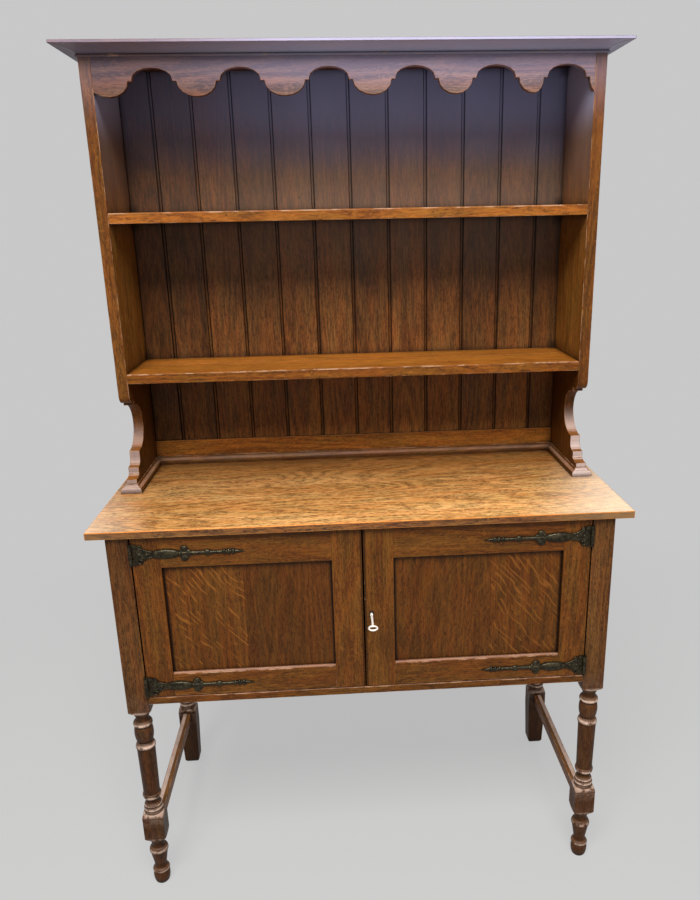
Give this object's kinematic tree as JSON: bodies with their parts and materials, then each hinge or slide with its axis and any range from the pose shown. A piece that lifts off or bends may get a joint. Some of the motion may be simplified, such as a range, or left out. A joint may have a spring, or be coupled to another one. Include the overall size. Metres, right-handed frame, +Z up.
{
  "type": "welsh dresser",
  "caption": "Oak welsh dresser: open plate rack with beaded board back and scalloped valance over a two-door cupboard on turned legs with side stretchers.",
  "frame": {"origin": "middle of the overall footprint, key included, at floor level", "axes": "+X to the right seen from the front, +Y from the front to the back, +Z up"},
  "size_m": [1.17, 0.581, 1.855],
  "materials": {
    "oak": "stained and polished oak, worn pale on the arrises",
    "top_oak": "golden oak worktop with a soft sheen",
    "panel_oak": "quarter-sawn oak panels with ray fleck",
    "board_oak": "darker oak boards of the back",
    "iron": "dark bronzed iron",
    "steel": "bright worn steel"
  },
  "bodies": {
    "carcase": {"back_board_1": "board_oak", "back_board_10": "board_oak", "back_board_11": "board_oak", "back_board_12": "board_oak", "back_board_2": "board_oak", "back_board_3": "board_oak", "back_board_4": "board_oak", "back_board_5": "board_oak", "back_board_6": "board_oak", "back_board_7": "board_oak", "back_board_8": "board_oak", "back_board_9": "board_oak", "back_leg_left": "oak", "back_leg_right": "oak", "back_panel": "board_oak", "back_rail": "oak", "bottom_board": "oak", "cornice_front": "oak", "cornice_left": "oak", "cornice_right": "oak", "countertop": "top_oak", "end_panel_left": "oak", "end_panel_right": "oak", "foot_moulding_back": "oak", "foot_moulding_left": "oak", "foot_moulding_right": "oak", "front_leg_left": "oak", "front_leg_right": "oak", "left_bottom_hinge_leaf": "iron", "left_top_hinge_leaf": "iron", "lower_shelf": "oak", "rack_side_left": "oak", "rack_side_right": "oak", "rack_top_board": "oak", "right_bottom_hinge_leaf": "iron", "right_top_hinge_leaf": "iron", "side_stretcher_left": "oak", "side_stretcher_right": "oak", "top_rail": "oak", "upper_shelf": "oak", "valance": "oak"},
    "left_door": {"left_bottom_hinge_strap": "iron", "left_door_bottom_rail": "oak", "left_door_hinge_stile": "oak", "left_door_lock_stile": "oak", "left_door_panel": "panel_oak", "left_door_top_rail": "oak", "left_top_hinge_strap": "iron", "door_bolt_plate": "iron"},
    "right_door": {"right_bottom_hinge_strap": "iron", "right_door_bottom_rail": "oak", "right_door_hinge_stile": "oak", "right_door_lock_stile": "oak", "right_door_panel": "panel_oak", "right_door_top_rail": "oak", "right_top_hinge_strap": "iron", "lock_case": "iron"},
    "key": {"key": "steel"},
    "lock_bolt": {"lock_bolt": "steel"},
    "door_bolt": {"door_bolt": "iron"}
  },
  "joints": [
    {"name": "left_door_hinge", "type": "hinge", "parent": "carcase", "child": "left_door", "pos_m": [-0.48475, -0.22185, 0.708], "axis": [0, 0, -1], "range_deg": [0, 165]},
    {"name": "right_door_hinge", "type": "hinge", "parent": "carcase", "child": "right_door", "pos_m": [0.48475, -0.22185, 0.708], "axis": [0, 0, 1], "range_deg": [0, 165]},
    {"name": "key_turn", "type": "hinge", "parent": "right_door", "child": "key", "pos_m": [0.01, -0.21755, 0.697], "axis": [0, 1, 0], "range_deg": [0, 180]},
    {"name": "lock_bolt_slide", "type": "slide", "parent": "right_door", "child": "lock_bolt", "axis": [-1, 0, 0], "range_m": [0, 0.009]},
    {"name": "door_bolt_slide", "type": "slide", "parent": "left_door", "child": "door_bolt", "axis": [0, 0, 1], "range_m": [0, 0.01]}
  ],
  "couplings": [
    {"joint": "lock_bolt_slide", "follows": "key_turn", "m_per_rad": 0.0028}
  ]
}
